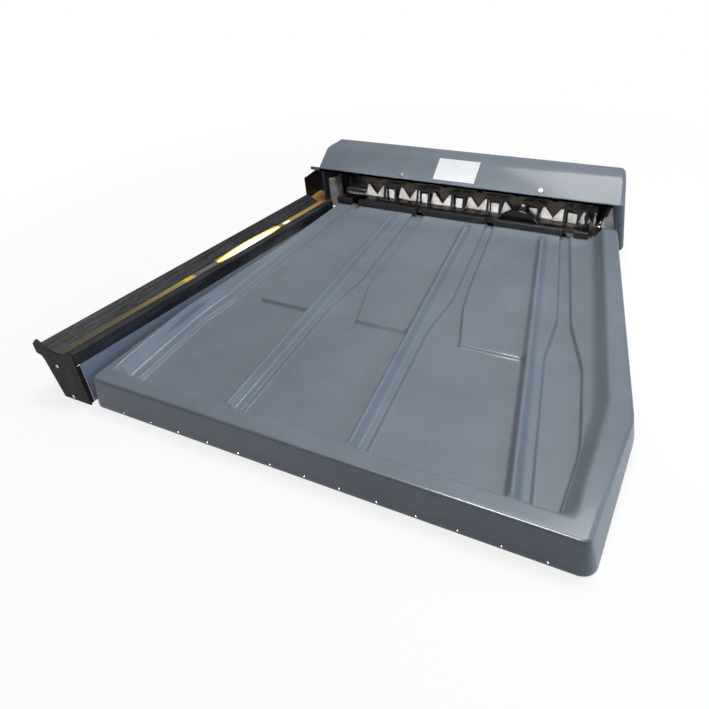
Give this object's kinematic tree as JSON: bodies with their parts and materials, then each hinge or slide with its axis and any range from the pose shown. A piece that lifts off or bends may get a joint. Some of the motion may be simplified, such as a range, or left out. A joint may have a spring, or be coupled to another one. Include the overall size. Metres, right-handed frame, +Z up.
{
  "type": "egg grading machine",
  "caption": "Table egg grader: a ribbed candling channel feeds weighing seats under a moulded hood, and tipping pans drop eggs over a sloped apron into tray lanes.",
  "frame": {"origin": "middle of the bounding box at table height", "axes": "+X to the right seen from the tray's front, +Y from the tray's front towards the hood, +Z up"},
  "size_m": [0.8364, 0.8146, 0.1685],
  "materials": {
    "moulded": "satin blue-grey moulding",
    "black_plastic": "satin black",
    "black_metal": "satin black paint",
    "brown_metal": "glossy dark brown paint",
    "white_plastic": "white, slightly worn",
    "bright_steel": "bright",
    "brass_weight": "dull brass",
    "tan_strip": "tan",
    "lit_window": "warm white, lit",
    "port_window": "yellow, lit",
    "lamp": "opal tube",
    "rubber": "matt",
    "label": "blank white",
    "cream": "cream",
    "gearbox_cast": "cast",
    "motor_can": "dark paint"
  },
  "bodies": {
    "frame": {"tray_shell": "moulded", "infeed_rail_outer": "black_plastic", "infeed_rail_inner": "black_plastic", "infeed_floor_strip": "tan_strip", "infeed_end_strip": "tan_strip", "candling_lens": "lit_window", "candling_port": "port_window", "candling_lamp_housing": "black_metal", "candling_lamp": "lamp", "infeed_side_panel": "moulded", "infeed_front_plate": "black_metal", "infeed_screw_upper": "bright_steel", "infeed_screw_lower": "bright_steel", "lane_rail_0": "black_plastic", "lane_rail_1": "black_plastic", "lane_rail_2": "black_plastic", "lane_rail_3": "black_plastic", "lane_rail_4": "black_plastic", "apron_plate": "brown_metal", "transfer_guard": "black_metal", "transfer_floor": "tan_strip", "end_guide": "white_plastic", "fixed_seats": "white_plastic", "scale_pivot_rod": "bright_steel", "mechanism_back_plate": "brown_metal", "crank_bearing_left": "bright_steel", "gearbox": "gearbox_cast", "drive_motor": "motor_can", "side_plate_left": "black_metal", "side_plate_right": "black_metal", "rear_cross_bar": "bright_steel", "seat_guard": "black_plastic", "apron_hump": "black_plastic", "end_gusset": "cream", "base_pan": "black_metal", "rubber_foot_left": "rubber", "rubber_foot_right": "rubber", "tray_support": "black_metal", "hood_screw_left": "bright_steel", "hood_screw_right": "bright_steel", "label_plate": "label", "hood_shell": "moulded", "power_inlet": "black_plastic"},
    "scale_0": {"scale_pan_0": "white_plastic", "scale_lever_0": "bright_steel"},
    "weight_0": {"scale_weight_0": "brass_weight"},
    "scale_1": {"scale_pan_1": "white_plastic", "scale_lever_1": "bright_steel"},
    "weight_1": {"scale_weight_1": "brass_weight"},
    "scale_2": {"scale_pan_2": "white_plastic", "scale_lever_2": "bright_steel"},
    "weight_2": {"scale_weight_2": "brass_weight"},
    "scale_3": {"scale_pan_3": "white_plastic", "scale_lever_3": "bright_steel"},
    "weight_3": {"scale_weight_3": "brass_weight"},
    "crank_left": {"crank_left": "bright_steel"},
    "crank_right": {"crank_right": "bright_steel"},
    "beam": {"walking_beam": "brown_metal"},
    "adjuster": {"adjusting_screw": "black_plastic"},
    "rocker": {"rocker_switch": "black_plastic"}
  },
  "joints": [
    {"name": "scale_tip_0", "type": "hinge", "parent": "frame", "child": "scale_0", "pos_m": [-0.10276, 0.3043, 0.062], "axis": [1, 0, 0], "range_deg": [0, 8]},
    {"name": "weight_slide_0", "type": "slide", "parent": "scale_0", "child": "weight_0", "axis": [0, 1, 0], "range_m": [-0.006, 0.006]},
    {"name": "scale_tip_1", "type": "hinge", "parent": "frame", "child": "scale_1", "pos_m": [0.04044, 0.3043, 0.062], "axis": [1, 0, 0], "range_deg": [0, 8]},
    {"name": "weight_slide_1", "type": "slide", "parent": "scale_1", "child": "weight_1", "axis": [0, 1, 0], "range_m": [-0.006, 0.006]},
    {"name": "scale_tip_2", "type": "hinge", "parent": "frame", "child": "scale_2", "pos_m": [0.18364, 0.3043, 0.062], "axis": [1, 0, 0], "range_deg": [0, 8]},
    {"name": "weight_slide_2", "type": "slide", "parent": "scale_2", "child": "weight_2", "axis": [0, 1, 0], "range_m": [-0.006, 0.006]},
    {"name": "scale_tip_3", "type": "hinge", "parent": "frame", "child": "scale_3", "pos_m": [0.25524, 0.3043, 0.062], "axis": [1, 0, 0], "range_deg": [0, 8]},
    {"name": "weight_slide_3", "type": "slide", "parent": "scale_3", "child": "weight_3", "axis": [0, 1, 0], "range_m": [-0.006, 0.006]},
    {"name": "crank_spin", "type": "hinge", "parent": "frame", "child": "crank_left", "pos_m": [-0.13836, 0.2943, 0.088], "axis": [0, 1, 0], "continuous": true},
    {"name": "crank_right_spin", "type": "hinge", "parent": "frame", "child": "crank_right", "pos_m": [0.21864, 0.2943, 0.088], "axis": [0, 1, 0], "continuous": true},
    {"name": "beam_pin", "type": "hinge", "parent": "crank_left", "child": "beam", "pos_m": [-0.13836, 0.2833, 0.1], "axis": [0, 1, 0], "continuous": true},
    {"name": "adjuster_turn", "type": "hinge", "parent": "frame", "child": "adjuster", "pos_m": [0.24664, 0.2543, 0.09], "axis": [0, 0, 1], "continuous": true},
    {"name": "rocker_tip", "type": "hinge", "parent": "frame", "child": "rocker", "pos_m": [-0.18236, 0.4032, 0.09], "axis": [1, 0, 0], "range_deg": [-8, 8]}
  ],
  "couplings": [
    {"joint": "crank_right_spin", "follows": "crank_spin", "ratio": 1},
    {"joint": "beam_pin", "follows": "crank_spin", "ratio": -1}
  ]
}
